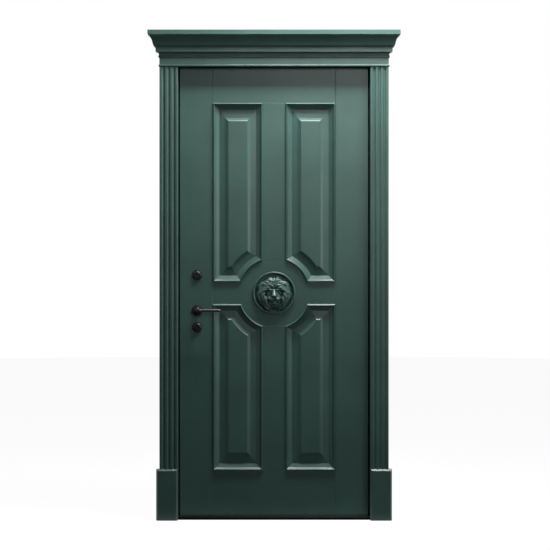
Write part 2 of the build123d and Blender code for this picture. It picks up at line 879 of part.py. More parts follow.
# Raised panels: a tongue round the edge, then a hollow, a quirk, a bevel and a step up to the field
def add_raised_field(side, level, depth_at):
    """Build the raised form of one face of a panel, at depths measured from that face of the leaf."""
    hollow_top = panel_recess - hollow_rise
    bevel_foot = hollow_top - quirk_rise
    bevel_top = bevel_foot - bevel_rise
    hollow_inset = moulding_width + hollow_width
    bevel_inset = hollow_inset + bevel_width
    tiers = (
        (moulding_width, panel_recess, 0),
        (hollow_inset, hollow_top, field_end_margin),
        (hollow_inset, bevel_foot, field_end_margin),
        (bevel_inset, bevel_top, field_end_margin),
        (bevel_inset + field_step_width, 0, field_end_margin),
    )
    for (low_inset, low_depth, low_margin), (high_inset, high_depth, high_margin) in zip(tiers, tiers[1:]):
        with BuildSketch(Plane.XZ.offset(-depth_at(low_depth))) as foot:
            panel_face(side, level, low_inset, low_margin)
        with BuildSketch(Plane.XZ.offset(-depth_at(high_depth))) as top:
            panel_face(side, level, high_inset, high_margin)
        loft([foot.sketch, top.sketch], ruled=True)


for name, (side, level) in panel_places.items():
    with BuildPart() as panel:
        with BuildSketch(Plane.XZ.offset(-core_front)):
            panel_face(side, level, -tongue_length)
        extrude(amount=-tongue_thickness)
        with BuildSketch(Plane.XZ.offset(-panel_recess)):
            panel_face(side, level, panel_edge_gap)
        extrude(amount=2 * panel_recess - leaf_thickness)
        add_raised_field(side, level, lambda depth: depth)
        add_raised_field(side, level, lambda depth: leaf_thickness - depth)
    finish(panel, f"{name}_panel")

    # Planted moulding: stands proud of the leaf and slopes down to the panel
    with BuildPart() as moulding:
        with BuildSketch(Plane.XZ.offset(-panel_recess)):
            panel_face(side, level, moulding_fit)
        extrude(amount=panel_recess + moulding_proud)
        chamfer(moulding.faces().sort_by(Axis.Y)[0].edges(), moulding_nose)
        slopes = (
            (moulding_width, -panel_recess),
            (moulding_waist, -moulding_waist_depth),
            (moulding_flat, moulding_proud),
        )
        for (low_inset, low_place), (high_inset, high_place) in zip(slopes, slopes[1:]):
            with BuildSketch(Plane.XZ.offset(low_place)) as foot:
                panel_face(side, level, low_inset)
            with BuildSketch(Plane.XZ.offset(high_place)) as top:
                panel_face(side, level, high_inset)
            loft([foot.sketch, top.sketch], ruled=True, mode=Mode.SUBTRACT)
    finish(moulding, f"{name}_moulding")

# Medallion ring: a turned rim with a thin dish behind the head
with BuildPart() as medallion_ring:
    inner_radius = ring_radius - ring_width
    with BuildSketch(front_plane(0, boss_height)):
        with BuildLine():
            Polyline(
                (0, -dish_depth),
                (inner_radius, -dish_depth),
                (inner_radius, 0),
                (ring_radius, 0),
                (ring_radius, ring_proud),
                (inner_radius - dish_thickness, ring_proud),
                (inner_radius - dish_thickness, dish_thickness - dish_depth),
                (0, dish_thickness - dish_depth),
                close=True,
            )
        make_face()
    revolve(axis=across_axis(0, boss_height))
    rim_edges = medallion_ring.faces().sort_by(Axis.Y)[0].edges()
    fillet(rim_edges, ring_round)
finish(medallion_ring, "medallion_ring")

# Lion head: a relief in facets, at each point as high as its highest lump
head_plane = Plane(origin=(0, dish_depth - dish_thickness, boss_height), x_dir=(1, 0, 0), z_dir=(0, -1, 0))
head_lumps = list(head_lump_shares)
for side in (-1, 1):
    for across, up, foot, wide, high, rise, turn in head_pair_shares:
        head_lumps.append((side * across, up, foot, wide, high, rise, side * turn))
    for (reach, foot, long, wide, rise), count in zip(mane_ring_shares, mane_lock_counts):
        for lock in range(count):
            angle = mane_first_angle * (1 - 2 * lock / (count - 1))
            droop = mane_droop * (1 + math.sin(math.radians(angle))) / 2
            across = side * reach * math.cos(math.radians(angle))
            up = reach * math.sin(math.radians(angle))
            head_lumps.append((across, up, foot, long, wide, rise, side * (angle - droop)))


def head_height(across, up):
    """The share of the head's depth that the highest lump reaches at a place."""
    height = 0
    for lump_across, lump_up, foot, wide, high, rise, turn in head_lumps:
        cosine = math.cos(math.radians(turn))
        sine = math.sin(math.radians(turn))
        along = ((across - lump_across) * cosine + (up - lump_up) * sine) / wide
        aside = ((up - lump_up) * cosine - (across - lump_across) * sine) / high
        if along**2 + aside**2 < 1:
            height = max(height, foot + rise * math.sqrt(1 - along**2 - aside**2))
    return height


def head_point(ring, spoke):
    """A corner of the carving's facets; the outermost ring lies on the dish."""
    angle = 2 * math.pi * spoke / head_spokes
    across = math.cos(angle) * ring / head_rings
    up = math.sin(angle) * ring / head_rings
    height = head_height(across, up) if ring < head_rings else 0
    return head_plane.from_local_coords((across * head_radius, up * head_radius, height * head_proud))


head_corners = [[head_point(ring, spoke) for spoke in range(head_spokes)] for ring in range(head_rings + 1)]
head_facets = [Face(Wire.make_polygon(head_corners[-1]))]
for inner, outer in zip(head_corners, head_corners[1:]):
    for spoke in range(head_spokes):
        after = (spoke + 1) % head_spokes
        head_facets.append(Face(Wire.make_polygon((inner[spoke], outer[spoke], outer[after]))))
        if inner is not head_corners[0]:
            head_facets.append(Face(Wire.make_polygon((inner[spoke], outer[after], inner[after]))))

with BuildPart() as lion_head:
    add(Solid(Shell(head_facets)))
finish(lion_head, "lion_head")


# Lock cases with their forends
def lock_case(mid_z, height, span, bores, bolts, seats):
    """A closed case behind a forend, with a channel for each bolt and bores for what turns in it."""
    edge = Plane(origin=(-leaf_edge, 0, 0), x_dir=(0, 1, 0), z_dir=(1, 0, 0))
    with BuildPart() as case:
        with BuildSketch(edge):
            with Locations((mid_y, mid_z)):
                RectangleRounded(forend_width, span + forend_margin, forend_round)
        extrude(amount=forend_thickness)
        with BuildSketch(edge.offset(forend_thickness)):
            with Locations((mid_y, mid_z)):
                Rectangle(case_thickness, height)
        extrude(amount=case_depth)
        for bolt_z, bolt_thickness, bolt_height, channel in bolts:
            with BuildSketch(edge):
                with Locations((mid_y, bolt_z)):
                    Rectangle(bolt_thickness + 2 * bolt_clearance, bolt_height + 2 * bolt_clearance)
            extrude(amount=channel, mode=Mode.SUBTRACT)
        for bore_z, bore_radius in bores:
            with BuildSketch(Plane.XZ.offset(overrun)):
                with Locations((lock_x, bore_z)):
                    Circle(bore_radius)
            extrude(amount=-leaf_thickness - 2 * overrun, mode=Mode.SUBTRACT)
        cut_sinks(seats)
    return case


latch_tail = latch_length - latch_reach
latch_channel = latch_tail + latch_reach + bolt_clearance
deadbolt_channel = bolt_inset + deadbolt_length + bolt_clearance
main_lock_case = lock_case(
    case_mid_height,
    case_height,
    main_plate_span,
    ((lever_height, follower_radius + follower_clearance), (cylinder_height, cylinder_bore)),
    (latch_hole + (latch_channel,), main_bolt_hole + (deadbolt_channel,)),
    main_forend_seats,
)
finish(main_lock_case, "main_lock_case")
upper_lock_case = lock_case(
    upper_lock_height,
    upper_case_height,
    upper_plate_span,
    ((upper_lock_height, cylinder_bore),),
    (upper_bolt_hole + (deadbolt_channel,),),
    upper_forend_seats,
)
finish(upper_lock_case, "upper_lock_case")

# Latch bolt: its nose slopes on the side that meets the strike when the leaf closes
with BuildPart() as latch_bolt:
    with BuildSketch(Plane.XY.offset(lever_height - latch_height / 2)):
        nose_x = -leaf_edge - latch_reach
        front_y = mid_y - latch_thickness / 2
        back_y = mid_y + latch_thickness / 2
        with BuildLine():
            Polyline(
                (nose_x + latch_length, front_y),
                (nose_x + latch_length, back_y),
                (nose_x, back_y),
                (nose_x, back_y - latch_nose),
                (nose_x + latch_reach, front_y),
                close=True,
            )
        make_face()
    extrude(amount=latch_height)
finish(latch_bolt, "latch_bolt")


# Deadbolts: drawn back at rest, just inside the forend
def deadbolt(height):
    """A plain rectangular bolt."""
    with BuildPart() as bolt:
        with BuildSketch(Plane.YZ.offset(bolt_inset - leaf_edge)):
            with Locations((mid_y, height)):
                Rectangle(deadbolt_thickness, deadbolt_height)
        extrude(amount=deadbolt_length)
        chamfer(bolt.faces().sort_by(Axis.X)[0].edges(), bolt_inset)
    return bolt


finish(deadbolt(deadbolt_height_z), "main_deadbolt")
finish(deadbolt(upper_lock_height), "upper_deadbolt")


# Roses: turned cover plates on both faces
def rose(plane, height, hole_radius, collar):
    """A domed round plate with a hole, and a raised collar where a cylinder shows."""
    with BuildPart() as plate:
        with BuildSketch(plane):
            with BuildLine():
                Polyline(
                    (hole_radius, rose_thickness),
                    (hole_radius, 0),
                    (rose_radius, 0),
                    (rose_radius, rose_rim),
                )
                if collar:
                    shoulder = rose_thickness - rose_collar_step
                    SagittaArc((rose_radius, rose_rim), (rose_collar_radius, shoulder), rose_collar_step)
                    Polyline(
                        (rose_collar_radius, shoulder),
                        (rose_collar_radius, rose_thickness),
                        (hole_radius, rose_thickness),
                    )
                else:
                    SagittaArc((rose_radius, rose_rim), (hole_radius, rose_thickness), rose_collar_step)
            make_face()
        revolve(axis=across_axis(lock_x, height))
    return plate


neck_hole = neck_radius + neck_clearance
finish(rose(front_plane(lock_x, lever_height), lever_height, neck_hole, False), "outer_lever_rose")
finish(rose(back_plane(lock_x, lever_height), lever_height, neck_hole, False), "inner_lever_rose")
for name, height in (("main", cylinder_height), ("upper", upper_lock_height)):
    finish(rose(front_plane(lock_x, height), height, cylinder_bore, True), f"{name}_outer_rose")
    finish(rose(back_plane(lock_x, height), height, cylinder_bore, True), f"{name}_inner_rose")

    # Cylinder: a round barrel through the leaf
    with BuildPart() as cylinder:
        with BuildSketch(Plane.XZ.offset(rose_thickness + cylinder_proud)):
            with Locations((lock_x, height)):
                Circle(cylinder_radius)
                Circle(plug_radius + plug_clearance, mode=Mode.SUBTRACT)
        extrude(amount=-leaf_thickness - 2 * (rose_thickness + cylinder_proud))
    finish(cylinder, f"{name}_cylinder")

    # Thumb turn: the plug with its keyway in front and an oval turn behind
    with BuildPart() as thumb_turn:
        plug_front = rose_thickness + cylinder_proud - plug_recess
        turn_foot = leaf_thickness + rose_thickness + cylinder_proud + turn_gap
        with BuildSketch(Plane.XZ.offset(plug_front)):
            with Locations((lock_x, height)):
                Circle(plug_radius)
        extrude(amount=-plug_front - turn_foot)
        with BuildSketch(Plane.XZ.offset(-turn_foot)):
            with Locations((lock_x, height)):
                Circle(turn_base_radius)
        extrude(amount=-turn_base_thickness)
        with BuildSketch(Plane.XZ.offset(-turn_foot - turn_base_thickness)):
            with Locations((lock_x, height)):
                SlotOverall(turn_width, turn_thickness, rotation=90)
        extrude(amount=-turn_reach)
        fillet(thumb_turn.faces().sort_by(Axis.Y)[-1].edges(), turn_round)
        with BuildSketch(Plane.XZ.offset(plug_front)):
            with Locations((lock_x, height)):
                SlotOverall(keyway_length, keyway_width, rotation=90)
        extrude(amount=-keyway_depth, mode=Mode.SUBTRACT)
    finish(thumb_turn, f"{name}_thumb_turn")

# Outer lever: a round neck and a slim arched grip
tip_x = lock_x + lever_reach - grip_height / 2
grip_line = Edge.make_three_point_arc(
    (lock_x, lever_height),
    ((lock_x + tip_x) / 2, lever_height + grip_arch),
    (tip_x, lever_height),
)

with BuildPart() as outer_lever:
    with BuildSketch(Plane.XZ.offset(neck_clearance)):
        with Locations((lock_x, lever_height)):
            Circle(neck_radius)
    extrude(amount=lever_stand_off - neck_clearance)
    with BuildSketch(Plane.XZ.offset(lever_stand_off + grip_thickness / 2)):
        SlotArc(grip_line, grip_height)
    extrude(amount=-grip_thickness)
    fillet(outer_lever.faces().sort_by(Axis.Y)[0].edges(), grip_round)
    with BuildSketch(Plane.XZ):
        with Locations((lock_x, lever_height)):
            Rectangle(spindle_side + 2 * spindle_clearance, spindle_side + 2 * spindle_clearance)
    extrude(amount=spindle_engagement + spindle_clearance, mode=Mode.SUBTRACT)
finish(outer_lever, "outer_lever")

# Inner lever: the same lever, mirrored to the back
with BuildPart() as inner_lever:
    mirror(outer_lever.part, about=Plane.XZ.offset(-mid_y))
finish(inner_lever, "inner_lever")

# Spindle: a square bar through the leaf, with the follower that works the latch
with BuildPart() as lever_spindle:
    with BuildSketch(Plane.XZ.offset(spindle_engagement)):
        with Locations((lock_x, lever_height)):
            Rectangle(spindle_side, spindle_side)
    extrude(amount=-leaf_thickness - 2 * spindle_engagement)
    with BuildSketch(Plane.XZ.offset(follower_thickness / 2 - mid_y)):
        with Locations((lock_x, lever_height)):
            Circle(follower_radius)
    extrude(amount=-follower_thickness)
finish(lever_spindle, "lever_spindle")
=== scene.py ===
import json
import math

import bmesh
import bpy
from mathutils import Matrix, Vector


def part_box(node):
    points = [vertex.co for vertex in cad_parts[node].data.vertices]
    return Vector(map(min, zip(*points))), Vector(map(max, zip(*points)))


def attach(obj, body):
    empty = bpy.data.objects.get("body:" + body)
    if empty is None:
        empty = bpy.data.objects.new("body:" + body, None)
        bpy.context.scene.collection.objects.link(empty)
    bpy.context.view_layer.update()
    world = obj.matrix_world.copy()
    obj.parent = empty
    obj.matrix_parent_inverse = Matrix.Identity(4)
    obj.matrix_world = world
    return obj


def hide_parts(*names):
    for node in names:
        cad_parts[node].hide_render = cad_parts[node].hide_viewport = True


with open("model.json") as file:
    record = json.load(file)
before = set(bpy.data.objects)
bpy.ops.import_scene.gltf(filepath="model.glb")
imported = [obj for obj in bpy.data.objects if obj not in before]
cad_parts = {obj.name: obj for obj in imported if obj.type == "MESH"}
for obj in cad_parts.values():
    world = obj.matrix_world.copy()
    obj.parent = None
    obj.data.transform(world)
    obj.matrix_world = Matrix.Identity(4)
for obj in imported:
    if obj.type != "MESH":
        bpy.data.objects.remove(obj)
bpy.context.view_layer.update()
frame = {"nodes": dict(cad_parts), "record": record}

bl_info = {
    "name": "Panelled Door Finish",
    "version": (1, 0, 0),
    "blender": (4, 5, 0),
    "location": "3D View > Sidebar > Door",
    "description": "Paints a panelled door, carves its lion medallion and turns its fittings",
    "category": "Object",
}

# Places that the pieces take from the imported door
head_low, head_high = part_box("lion_head")
ring_low, ring_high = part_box("medallion_ring")
leaf_low, leaf_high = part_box("lock_stile")
lever_low, lever_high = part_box("outer_lever")
lever_rose_low, lever_rose_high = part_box("outer_lever_rose")
LEAF_FRONT = leaf_low.y
LEAF_BACK = leaf_high.y
HEAD_RADIUS = (head_high.x - head_low.x) / 2
HEAD_BASE = head_high.y
RING_CENTRE = (ring_low + ring_high) / 2
RING_RADIUS = (ring_high.x - ring_low.x) / 2
# Joints of the leaf's timber: where rails meet stiles, and where mullions meet rails
RAIL_ENDS = [end.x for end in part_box("top_rail")]
MULLIONS = ("upper_mullion", "lower_mullion")
MULLION_ENDS = [end.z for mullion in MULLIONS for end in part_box(mullion)]
STILES_AND_RAILS = ("lock_stile", "hinge_stile", "top_rail", "lock_rail", "bottom_rail")
JOINTED = {
    **dict.fromkeys(STILES_AND_RAILS, ("X", RAIL_ENDS)),
    **dict.fromkeys(MULLIONS, ("Z", MULLION_ENDS)),
}


class PaintSettings(bpy.types.PropertyGroup):
    """Sprayed satin paint on all the timber."""

    colour: bpy.props.FloatVectorProperty(
        name="Paint colour",
        description="Colour of the paint in plain light",
        subtype="COLOR",
        min=0,
        max=1,
        default=(0.033, 0.080, 0.067),
    )
    shade: bpy.props.FloatProperty(
        name="Shade",
        description="How far the paint's colour drifts from place to place",
        subtype="FACTOR",
        min=0,
        max=1,
        default=0.12,
    )
    roughness: bpy.props.FloatProperty(
        name="Roughness",
        description="Roughness of the satin paint",
        subtype="FACTOR",
        min=0,
        max=1,
        default=0.40,
    )
    peel_size: bpy.props.FloatProperty(
        name="Peel size",
        description="Width of the faint ripples that a spray gun leaves",
        unit="LENGTH",
        default=0.0022,
    )
    peel_depth: bpy.props.FloatProperty(
        name="Peel depth",
        description="Depth of those ripples",
        unit="LENGTH",
        default=0.00004,
    )
    joint_width: bpy.props.FloatProperty(
        name="Joint width",
        description="Width of the paint's fall on each side of a joint",
        unit="LENGTH",
        default=0.0024,
    )
    joint_depth: bpy.props.FloatProperty(
        name="Joint depth",
        description="Depth of the fine groove that the paint leaves over a joint",
        unit="LENGTH",
        default=0.0006,
    )


class FittingSettings(bpy.types.PropertyGroup):
    """Black fittings, bright steel and rubber."""

    black: bpy.props.FloatVectorProperty(
        name="Black",
        description="Colour of the powder-coated fittings",
        subtype="COLOR",
        min=0,
        max=1,
        default=(0.010, 0.009, 0.009),
    )
    steel: bpy.props.FloatVectorProperty(
        name="Steel",
        description="Colour of the brushed steel",
        subtype="COLOR",
        min=0,
        max=1,
        default=(0.42, 0.42, 0.43),
    )
    # Seal colour: black rubber made darker still, partly painted shade of the deep gap round the leaf
    rubber: bpy.props.FloatVectorProperty(
        name="Rubber",
        description="Colour of the seal",
        subtype="COLOR",
        min=0,
        max=1,
        default=(0.0015, 0.0015, 0.0015),
    )
    # Threshold colour: a dark bar made near black, partly painted shade of the strip under the leaf
    threshold: bpy.props.FloatVectorProperty(
        name="Threshold",
        description="Colour of the dark threshold bar",
        subtype="COLOR",
        min=0,
        max=1,
        default=(0.002, 0.0025, 0.0025),
    )
    lever_bend: bpy.props.FloatProperty(
        name="Lever bend",
        description="Radius of the bend from the lever's neck to its grip",
        unit="LENGTH",
        default=0.013,
    )


class LionSettings(bpy.types.PropertyGroup):
    """The carved head and its ring."""

    grain: bpy.props.FloatProperty(
        name="Carving grain",
        description="Size of the smallest form that the carving keeps",
        unit="LENGTH",
        default=0.0011,
    )
    rim_width: bpy.props.FloatProperty(
        name="Rim width",
        description="Width of the bead round the medallion",
        unit="LENGTH",
        default=0.0105,
    )
    wall: bpy.props.FloatProperty(
        name="Wall",
        description="Thickness of the dish behind the head",
        unit="LENGTH",
        default=0.0035,
    )


class StageSettings(bpy.types.PropertyGroup):
    """Floor, backdrop, lamps and camera."""

    camera_place: bpy.props.FloatVectorProperty(
        name="Camera place",
        description="Where the camera stands; it looks along +Y",
        subtype="TRANSLATION",
        unit="LENGTH",
        default=(0.0045, -7.0, 1.156),
    )
    lens: bpy.props.FloatProperty(
        name="Lens",
        description="Focal length of the camera in millimetres",
        default=96.7,
    )
    key_place: bpy.props.FloatVectorProperty(
        name="Key lamp place",
        description="Where the main lamp hangs",
        subtype="TRANSLATION",
        unit="LENGTH",
        default=(0.50, -0.44, 3.12),
    )
    key_power: bpy.props.FloatProperty(
        name="Key lamp power",
        description="Power of the main lamp",
        unit="POWER",
        default=100,
    )
    fill_power: bpy.props.FloatProperty(
        name="Fill lamp power",
        description="Power of the broad weak lamp beside the camera",
        unit="POWER",
        default=5.9,
    )
    side_power: bpy.props.FloatProperty(
        name="Side lamp power",
        description="Power of the weak lamp on the hinge side",
        unit="POWER",
        default=22,
    )
    world_strength: bpy.props.FloatProperty(
        name="World strength",
        description="Strength of the even light from all round",
        default=0.02,
    )


# Materials: the middle range of a noise, and how far the paint's roughness drifts
NOISE_LOW = 0.3
NOISE_HIGH = 0.7
PAINT_MIST = 0.02


def start_material(name):
    """A new node material, with its tree and its shader."""
    material = bpy.data.materials.new(name)
    material.use_nodes = True
    tree = material.node_tree
    return material, tree, tree.nodes["Principled BSDF"]


def add_node(tree, kind, values=None, **settings):
    """Add a node, set its attributes and the values of its inputs."""
    node = tree.nodes.new(kind)
    for key, value in settings.items():
        setattr(node, key, value)
    for key, value in (values or {}).items():
        node.inputs[key].default_value = value
    return node


def add_noise(tree, places, size, detail, stretch=(1, 1, 1)):
    """Noise whose features are about that many metres wide, stretched along the axes."""
    scale = [1 / (size * share) for share in stretch]
    mapping = add_node(tree, "ShaderNodeMapping", {"Scale": scale})
    tree.links.new(places.outputs["Object"], mapping.inputs["Vector"])
    noise = add_node(tree, "ShaderNodeTexNoise", {"Scale": 1, "Detail": detail, "Roughness": 0.55})
    tree.links.new(mapping.outputs["Vector"], noise.inputs["Vector"])
    return noise


def spread(tree, source, low, high, target):
    """Map a noise's middle range to a range of values on the target socket."""
    ranged = add_node(
        tree,
        "ShaderNodeMapRange",
        {"From Min": NOISE_LOW, "From Max": NOISE_HIGH, "To Min": low, "To Max": high},
    )
    tree.links.new(source.outputs["Fac"], ranged.inputs["Value"])
    tree.links.new(ranged.outputs["Result"], target)


def tint(tree, source, colour, darker, lighter, target):
    """Let a noise make a colour darker and lighter by two shares."""
    ramp = add_node(tree, "ShaderNodeValToRGB")
    elements = ramp.color_ramp.elements
    for element, position, share in zip(elements, (NOISE_LOW, NOISE_HIGH), (darker, lighter)):
        element.position = position
        element.color = (*(channel * (1 + share) for channel in colour), 1)
    tree.links.new(source.outputs["Fac"], ramp.inputs["Fac"])
    tree.links.new(ramp.outputs["Color"], target)


def emboss(tree, source, depth, shader):
    """Bump the shader's surface by a noise of that depth in metres."""
    bump = add_node(tree, "ShaderNodeBump", {"Strength": 1, "Distance": depth})
    tree.links.new(source.outputs["Fac"], bump.inputs["Height"])
    tree.links.new(bump.outputs["Normal"], shader.inputs["Normal"])


def score(tree, places, axis, lines, width, depth, shader):
    """Score grooves across an axis into the shader's surface, one at each line."""
    split = add_node(tree, "ShaderNodeSeparateXYZ")
    tree.links.new(places.outputs["Object"], split.inputs["Vector"])
    nearest = None
    for line in lines:
        away = add_node(tree, "ShaderNodeMath", {1: line}, operation="SUBTRACT")
        tree.links.new(split.outputs[axis], away.inputs[0])
        reach = add_node(tree, "ShaderNodeMath", operation="ABSOLUTE")
        tree.links.new(away.outputs["Value"], reach.inputs[0])
        if nearest:
            nearer = add_node(tree, "ShaderNodeMath", operation="MINIMUM")
            tree.links.new(nearest.outputs["Value"], nearer.inputs[0])
            tree.links.new(reach.outputs["Value"], nearer.inputs[1])
            reach = nearer
        nearest = reach
    fall = add_node(tree, "ShaderNodeMapRange", {"From Min": 0, "From Max": width})
    tree.links.new(nearest.outputs["Value"], fall.inputs["Value"])
    bump = add_node(tree, "ShaderNodeBump", {"Strength": 1, "Distance": depth})
    tree.links.new(fall.outputs["Result"], bump.inputs["Height"])
    for link in shader.inputs["Normal"].links:
        tree.links.new(link.from_socket, bump.inputs["Normal"])
    tree.links.new(bump.outputs["Normal"], shader.inputs["Normal"])


def make_paint(paint, name="satin_green_paint", axis=None, lines=()):
    """Satin paint: faint drift in colour and gloss, a spray gun's ripple, and grooves over joints."""
    material, tree, shader = start_material(name)
    places = add_node(tree, "ShaderNodeTexCoord")
    clouds = add_noise(tree, places, size=0.22, detail=3)
    tint(tree, clouds, paint.colour, -paint.shade, paint.shade, shader.inputs["Base Color"])
    mist = add_noise(tree, places, size=0.035, detail=4)
    low, high = paint.roughness - PAINT_MIST, paint.roughness + PAINT_MIST
    spread(tree, mist, low, high, shader.inputs["Roughness"])
    peel = add_noise(tree, places, size=paint.peel_size, detail=2)
    emboss(tree, peel, paint.peel_depth, shader)
    if axis:
        score(tree, places, axis, lines, paint.joint_width, paint.joint_depth, shader)
    return material


def make_black(fitting):
    """Powder-coated black metal with a fine grain."""
    material, tree, shader = start_material("powder_black")
    shader.inputs["Metallic"].default_value = 0.1
    places = add_node(tree, "ShaderNodeTexCoord")
    clouds = add_noise(tree, places, size=0.02, detail=3)
    tint(tree, clouds, fitting.black, -0.2, 0.25, shader.inputs["Base Color"])
    spread(tree, clouds, 0.30, 0.40, shader.inputs["Roughness"])
    grit = add_noise(tree, places, size=0.0007, detail=2)
    emboss(tree, grit, 0.00002, shader)
    return material


def make_steel(fitting):
    """Steel brushed along the height."""
    material, tree, shader = start_material("brushed_steel")
    shader.inputs["Metallic"].default_value = 1
    places = add_node(tree, "ShaderNodeTexCoord")
    strokes = add_noise(tree, places, size=0.0006, detail=3, stretch=(1, 1, 60))
    tint(tree, strokes, fitting.steel, -0.15, 0.12, shader.inputs["Base Color"])
    spread(tree, strokes, 0.24, 0.42, shader.inputs["Roughness"])
    emboss(tree, strokes, 0.000012, shader)
    return material


def make_rubber(fitting):
    """Matt rubber with a mealy bloom; its near-black colour is partly painted shade of the deep gap
    round the leaf.
    """
    material, tree, shader = start_material("seal_rubber_gap_shade")
    shader.inputs["Specular IOR Level"].default_value = 0.1
    places = add_node(tree, "ShaderNodeTexCoord")
    bloom = add_noise(tree, places, size=0.012, detail=4)
    tint(tree, bloom, fitting.rubber, -0.2, 0.4, shader.inputs["Base Color"])
    spread(tree, bloom, 0.72, 0.9, shader.inputs["Roughness"])
    grit = add_noise(tree, places, size=0.0009, detail=2)
    emboss(tree, grit, 0.00003, shader)
    return material


def make_threshold(fitting):
    """Dark coated bar with fine lines along its length; its near-black is partly painted shade of the
    strip under the leaf.
    """
    material, tree, shader = start_material("threshold_bar_painted_shade")
    shader.inputs["Specular IOR Level"].default_value = 0.05
    places = add_node(tree, "ShaderNodeTexCoord")
    strokes = add_noise(tree, places, size=0.0008, detail=3, stretch=(80, 1, 1))
    tint(tree, strokes, fitting.threshold, -0.2, 0.3, shader.inputs["Base Color"])
    spread(tree, strokes, 0.38, 0.52, shader.inputs["Roughness"])
    emboss(tree, strokes, 0.000015, shader)
    return material


MATERIALS = {
    "painted_wood": ("satin_green_paint", lambda scene: make_paint(scene.door_paint)),
    "black_hardware": ("powder_black", lambda scene: make_black(scene.door_fittings)),
    "steel": ("brushed_steel", lambda scene: make_steel(scene.door_fittings)),
    "rubber_seal": ("seal_rubber_gap_shade", lambda scene: make_rubber(scene.door_fittings)),
    "dark_threshold": ("threshold_bar_painted_shade", lambda scene: make_threshold(scene.door_fittings)),
}


def slot_material(scene, slot):
    """The material of one of the record's slots, made at its first use."""
    name, make = MATERIALS[slot]
    return bpy.data.materials.get(name) or make(scene)


def jointed_paint(scene, axis, lines):
    """The paint with grooves over the joints across an axis, made at its first use."""
    name = "satin_green_paint_joints_" + axis.lower()
    return bpy.data.materials.get(name) or make_paint(scene.door_paint, name, axis, lines)


# Meshes: how near two points count as one, and how near a point counts as on a line
SAME_PLACE = 1e-6
ON_LINE = 1e-5


def finish_piece(scene, shape, name, body, slot, nodes, sharp=40):
    """Turn a bmesh into a piece that rides on a body and stands for the named nodes."""
    for face in shape.faces:
        face.smooth = True
    for edge in shape.edges:
        edge.smooth = edge.calc_face_angle(0) < math.radians(sharp)
    mesh = bpy.data.meshes.new(name)
    shape.to_mesh(mesh)
    shape.free()
    piece = bpy.data.objects.new(name, mesh)
    scene.collection.objects.link(piece)
    piece.data.materials.append(slot_material(scene, slot))
    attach(piece, body)
    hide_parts(*nodes)
    return piece


def turn_profile(shape, centre, profile, steps, rounds):
    """Spin a profile of (radius, y) points about a line along Y, then round the named corners."""
    spots = [shape.verts.new((centre.x + radius, y, centre.z)) for radius, y in profile]
    closed = profile[0][0] > 0
    pairs = list(zip(spots, spots[1:])) + ([(spots[-1], spots[0])] if closed else [])
    lines = [shape.edges.new(pair) for pair in pairs]
    bmesh.ops.spin(
        shape,
        geom=spots + lines,
        cent=(centre.x, 0, centre.z),
        axis=(0, 1, 0),
        dvec=(0, 0, 0),
        angle=math.tau,
        steps=steps,
        use_merge=True,
        use_duplicate=False,
    )
    bmesh.ops.remove_doubles(shape, verts=shape.verts, dist=SAME_PLACE)
    bmesh.ops.recalc_face_normals(shape, faces=shape.faces)
    for corner, size, segments in rounds:
        radius, y = profile[corner]
        loop = [
            edge
            for edge in shape.edges
            if all(on_circle(vert.co, centre, radius, y) for vert in edge.verts)
        ]
        bmesh.ops.bevel(
            shape,
            geom=loop,
            offset=size,
            offset_type="OFFSET",
            affect="EDGES",
            segments=segments,
            profile=0.5,
            material=-1,
        )


def on_circle(spot, centre, radius, y):
    """Whether a point lies on a circle about a line along Y."""
    reach = math.hypot(spot.x - centre.x, spot.z - centre.z)
    return abs(reach - radius) < ON_LINE and abs(spot.y - y) < ON_LINE


def sweep_rings(shape, stations, sides):
    """Extrude a ring of vertices through a row of matrices that each place a unit circle."""
    made = bmesh.ops.create_circle(
        shape, cap_ends=True, segments=sides, radius=1, matrix=stations[0]
    )
    edges = list({edge for vert in made["verts"] for edge in vert.link_edges})
    for before, after in zip(stations, stations[1:]):
        made = bmesh.ops.extrude_edge_only(shape, edges=edges)
        verts = [item for item in made["geom"] if isinstance(item, bmesh.types.BMVert)]
        lines = [item for item in made["geom"] if isinstance(item, bmesh.types.BMEdge)]
        edges = [line for line in lines if line.is_boundary]
        bmesh.ops.transform(shape, matrix=after @ before.inverted(), verts=verts)
    bmesh.ops.edgeloop_fill(shape, edges=edges)


def station(place, side, up, wide, thick):
    """A matrix that lays a unit circle across a path, wide along side and thick along up."""
    ahead = side.cross(up)
    matrix = Matrix((side * wide, up * thick, ahead)).transposed().to_4x4()
    matrix.translation = place
    return matrix


def blend(first, last, share):
    """A value that goes from first to last with a share."""
    return first + (last - first) * share


# Lion head, in shares of the head's radius: across, up and out from the dish
HEAD = Matrix(
    (
        (HEAD_RADIUS, 0, 0, RING_CENTRE.x),
        (0, 0, -HEAD_RADIUS, HEAD_BASE),
        (0, HEAD_RADIUS, 0, RING_CENTRE.z),
        (0, 0, 0, 1),
    )
)
